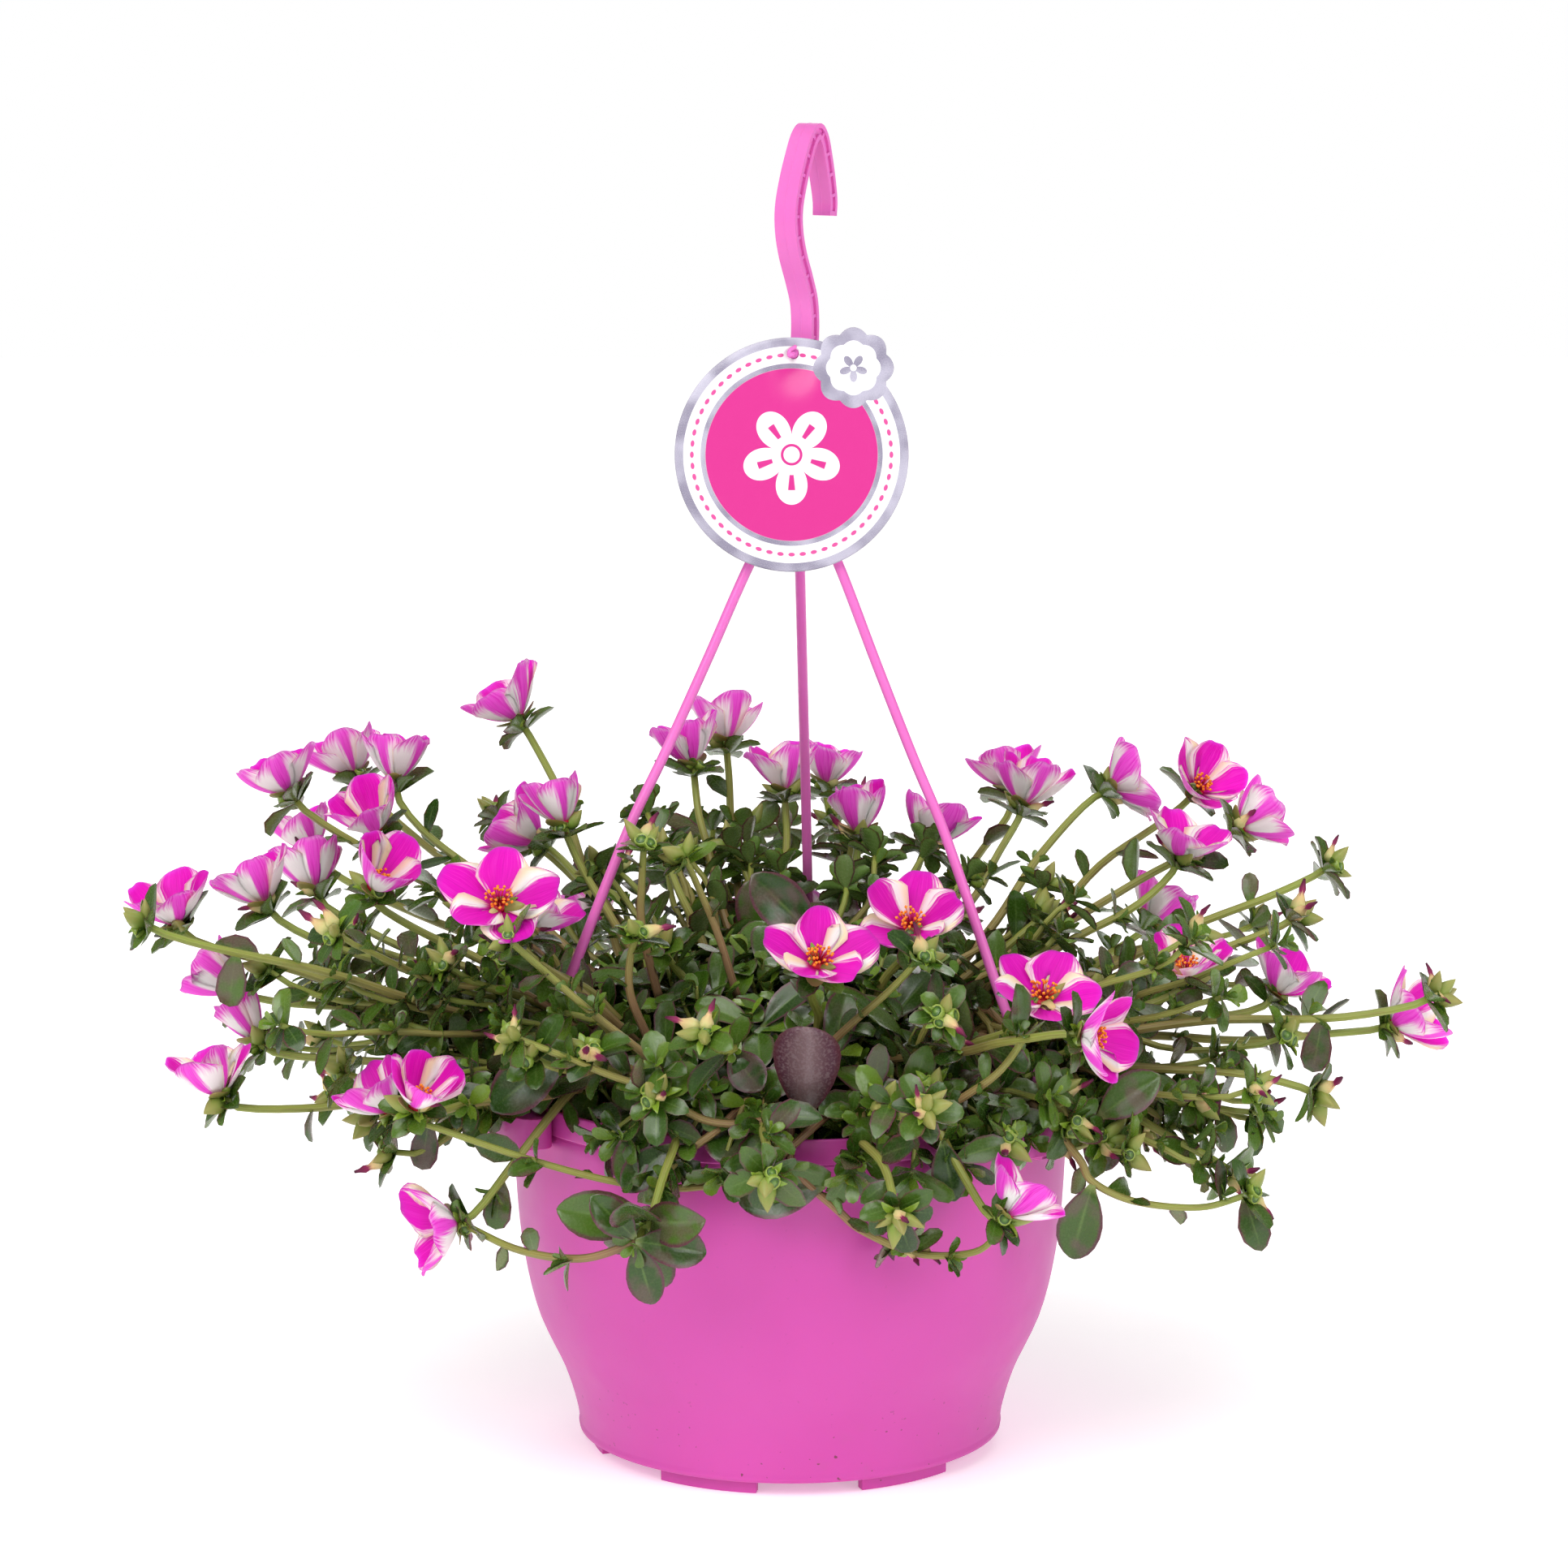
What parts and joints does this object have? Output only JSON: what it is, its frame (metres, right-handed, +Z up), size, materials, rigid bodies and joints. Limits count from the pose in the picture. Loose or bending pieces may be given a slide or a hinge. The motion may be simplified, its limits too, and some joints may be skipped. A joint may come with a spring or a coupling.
{
  "type": "portulaca in a hanging pot",
  "caption": "Bushy moss rose with long leafy stems and cup-shaped pink blooms, in a round pink plastic pot with a hooked hanger and a round card tag.",
  "frame": {"origin": "middle of the pot on the surface that its feet stand on", "axes": "+Z up, -Y the side that the tag faces, +X to the right of the tag's face"},
  "size_m": [0.5711, 0.3931, 0.5685],
  "materials": {
    "pot": "satin magenta-pink moulded plastic",
    "hanger": "smooth pink moulded plastic",
    "tag": "coated printed card, silver rim, pink middle",
    "soil": "rough moist peat",
    "leaf": "waxy fleshy leaves on red-brown and olive stems",
    "petal": "soft silky petals, magenta and pale pink, with red and orange stamens"
  },
  "bodies": {
    "root": {"pot": "pot", "soil": "soil", "hanger": "hanger", "tag": "tag", "bloom_01": "petal", "bloom_02": "petal", "bloom_03": "petal", "bloom_04": "petal", "bloom_05": "petal", "bloom_06": "petal", "bloom_07": "petal", "bloom_08": "petal", "bloom_09": "petal", "bloom_10": "petal", "bloom_11": "petal", "bloom_12": "petal", "bloom_13": "petal", "bloom_14": "petal", "bloom_15": "petal", "bloom_16": "petal", "bloom_17": "petal", "bloom_18": "petal", "bloom_19": "petal", "bloom_20": "petal", "bloom_21": "petal", "bloom_22": "petal", "bloom_23": "petal", "bloom_24": "petal", "bloom_25": "petal", "bloom_26": "petal", "bloom_27": "petal", "bloom_28": "petal", "bloom_29": "petal", "bloom_30": "petal", "bloom_31": "petal", "bloom_32": "petal", "bloom_33": "petal", "bloom_34": "petal", "bloom_35": "petal", "bloom_36": "petal", "bloom_37": "petal", "bloom_38": "petal", "bloom_39": "petal", "bloom_40": "petal", "bloom_41": "petal", "bloom_42": "petal", "bloom_43": "petal", "bloom_44": "petal", "bloom_45": "petal", "plant_1": "leaf", "plant_2": "leaf", "plant_3": "leaf", "plant_4": "leaf", "plant_5": "leaf", "plant_6": "leaf", "plant_7": "leaf", "plant_8": "leaf"}
  },
  "joints": []
}
